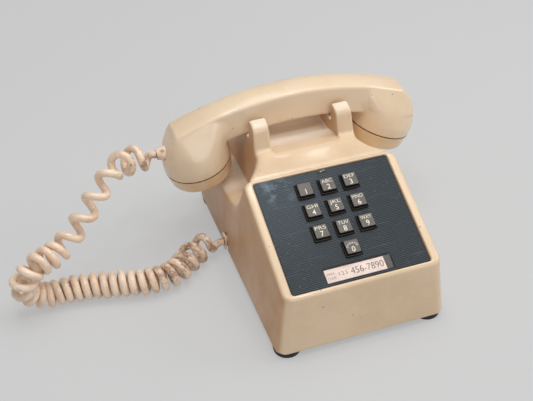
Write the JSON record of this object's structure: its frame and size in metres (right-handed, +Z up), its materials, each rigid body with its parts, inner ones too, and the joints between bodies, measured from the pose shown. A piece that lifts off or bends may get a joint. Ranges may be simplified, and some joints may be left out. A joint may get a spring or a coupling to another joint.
{
  "type": "push-button desk telephone",
  "caption": "Beige push-button desk telephone with a sloping dark keypad plate, a cradle with ears, a handset resting across it and a curly handset cord.",
  "frame": {"origin": "on the table under the middle of the telephone, the cord left out", "axes": "+X to the user's right along the handset, +Y to the back, +Z up"},
  "size_m": [0.3701, 0.218, 0.1348],
  "materials": {
    "shell": "glossy moulded ABS, yellowed beige",
    "plated_steel": "zinc plated sheet",
    "screw_steel": "plated",
    "cord_plastic": "soft PVC, pinkish beige, grimy",
    "black_rubber": "matt",
    "plate_plastic": "dark slate, finely ribbed, scratched",
    "card": "aged paper card",
    "clear_plastic": "clear acrylic",
    "clear_plastic_white": "natural nylon",
    "black_plastic": "moulded",
    "key_plastic": "dark grey-brown, worn satin",
    "board": "phenolic board",
    "ferrite": "ferrite pot cores",
    "coil_wrap": "wrapped winding",
    "gong_brass": "dull brass",
    "grey_enamel": "enamelled can"
  },
  "bodies": {
    "base": {"housing": "shell", "base_plate": "plated_steel", "foot_front_left": "black_rubber", "foot_front_right": "black_rubber", "foot_rear_left": "black_rubber", "foot_rear_right": "black_rubber", "housing_screws": "screw_steel", "cord_bushing": "cord_plastic", "line_grommet": "black_rubber", "faceplate": "plate_plastic", "number_card": "card", "card_window": "clear_plastic", "key_guide": "black_plastic", "dial_bracket": "plated_steel", "dial_screws": "screw_steel", "dial_board": "board", "tone_coils": "ferrite", "ringer_frame": "plated_steel", "ringer_coil": "coil_wrap", "gong_low": "gong_brass", "gong_high": "gong_brass", "gong_screws": "screw_steel", "network_block": "grey_enamel", "network_terminals": "screw_steel", "hookswitch_bracket": "plated_steel", "hook_pin": "screw_steel", "contact_springs": "gong_brass", "wheel_bracket": "plated_steel", "handset_cord": "cord_plastic", "cord_lead_base": "cord_plastic", "cord_lead_handset": "cord_plastic"},
    "handset": {"handset_shell": "shell", "transmitter_cap": "shell", "receiver_cap": "shell", "transmitter_unit": "black_plastic", "receiver_unit": "black_plastic", "transmitter_cup": "black_plastic", "handset_gland": "cord_plastic"},
    "key_1": {"key_1": "key_plastic"},
    "key_2": {"key_2": "key_plastic"},
    "key_3": {"key_3": "key_plastic"},
    "key_4": {"key_4": "key_plastic"},
    "key_5": {"key_5": "key_plastic"},
    "key_6": {"key_6": "key_plastic"},
    "key_7": {"key_7": "key_plastic"},
    "key_8": {"key_8": "key_plastic"},
    "key_9": {"key_9": "key_plastic"},
    "key_0": {"key_0": "key_plastic"},
    "plunger_left": {"plunger_left": "clear_plastic_white"},
    "plunger_right": {"plunger_right": "clear_plastic_white"},
    "hook_lever": {"hook_lever": "plated_steel"},
    "clapper": {"clapper": "plated_steel"},
    "volume_wheel": {"volume_wheel": "black_plastic"}
  },
  "joints": [
    {"name": "handset_lift", "type": "slide", "parent": "base", "child": "handset", "axis": [0, 0, 1], "range_m": [0, 0.09]},
    {"name": "plunger_left_rise", "type": "slide", "parent": "base", "child": "plunger_left", "axis": [0, 0, 1], "range_m": [0, 0.006]},
    {"name": "plunger_right_rise", "type": "slide", "parent": "base", "child": "plunger_right", "axis": [0, 0, 1], "range_m": [0, 0.006]},
    {"name": "hook_lever_turn", "type": "hinge", "parent": "base", "child": "hook_lever", "pos_m": [0, 0.046, 0.0796], "axis": [1, 0, 0], "range_deg": [0, 23]},
    {"name": "key_1_press", "type": "slide", "parent": "base", "child": "key_1", "axis": [0, 0.3827, -0.9239], "range_m": [0, 0.003], "stiffness_N_per_m": 250, "springref_m": -0.001},
    {"name": "key_2_press", "type": "slide", "parent": "base", "child": "key_2", "axis": [0, 0.3827, -0.9239], "range_m": [0, 0.003], "stiffness_N_per_m": 250, "springref_m": -0.001},
    {"name": "key_3_press", "type": "slide", "parent": "base", "child": "key_3", "axis": [0, 0.3827, -0.9239], "range_m": [0, 0.003], "stiffness_N_per_m": 250, "springref_m": -0.001},
    {"name": "key_4_press", "type": "slide", "parent": "base", "child": "key_4", "axis": [0, 0.3827, -0.9239], "range_m": [0, 0.003], "stiffness_N_per_m": 250, "springref_m": -0.001},
    {"name": "key_5_press", "type": "slide", "parent": "base", "child": "key_5", "axis": [0, 0.3827, -0.9239], "range_m": [0, 0.003], "stiffness_N_per_m": 250, "springref_m": -0.001},
    {"name": "key_6_press", "type": "slide", "parent": "base", "child": "key_6", "axis": [0, 0.3827, -0.9239], "range_m": [0, 0.003], "stiffness_N_per_m": 250, "springref_m": -0.001},
    {"name": "key_7_press", "type": "slide", "parent": "base", "child": "key_7", "axis": [0, 0.3827, -0.9239], "range_m": [0, 0.003], "stiffness_N_per_m": 250, "springref_m": -0.001},
    {"name": "key_8_press", "type": "slide", "parent": "base", "child": "key_8", "axis": [0, 0.3827, -0.9239], "range_m": [0, 0.003], "stiffness_N_per_m": 250, "springref_m": -0.001},
    {"name": "key_9_press", "type": "slide", "parent": "base", "child": "key_9", "axis": [0, 0.3827, -0.9239], "range_m": [0, 0.003], "stiffness_N_per_m": 250, "springref_m": -0.001},
    {"name": "key_0_press", "type": "slide", "parent": "base", "child": "key_0", "axis": [0, 0.3827, -0.9239], "range_m": [0, 0.003], "stiffness_N_per_m": 250, "springref_m": -0.001},
    {"name": "clapper_swing", "type": "hinge", "parent": "base", "child": "clapper", "pos_m": [0, -0.044, 0.02], "axis": [0, 0, 1], "range_deg": [-14, 14], "stiffness_Nm_per_rad": 0.02},
    {"name": "volume_wheel_turn", "type": "hinge", "parent": "base", "child": "volume_wheel", "pos_m": [0.045, -0.02, 0.0144], "axis": [0, 1, 0], "range_deg": [-60, 60]}
  ],
  "couplings": [
    {"joint": "plunger_left_rise", "follows": "handset_lift", "ratio": 0.0666},
    {"joint": "plunger_right_rise", "follows": "handset_lift", "ratio": 0.0666},
    {"joint": "hook_lever_turn", "follows": "handset_lift", "rad_per_m": 4.4}
  ]
}
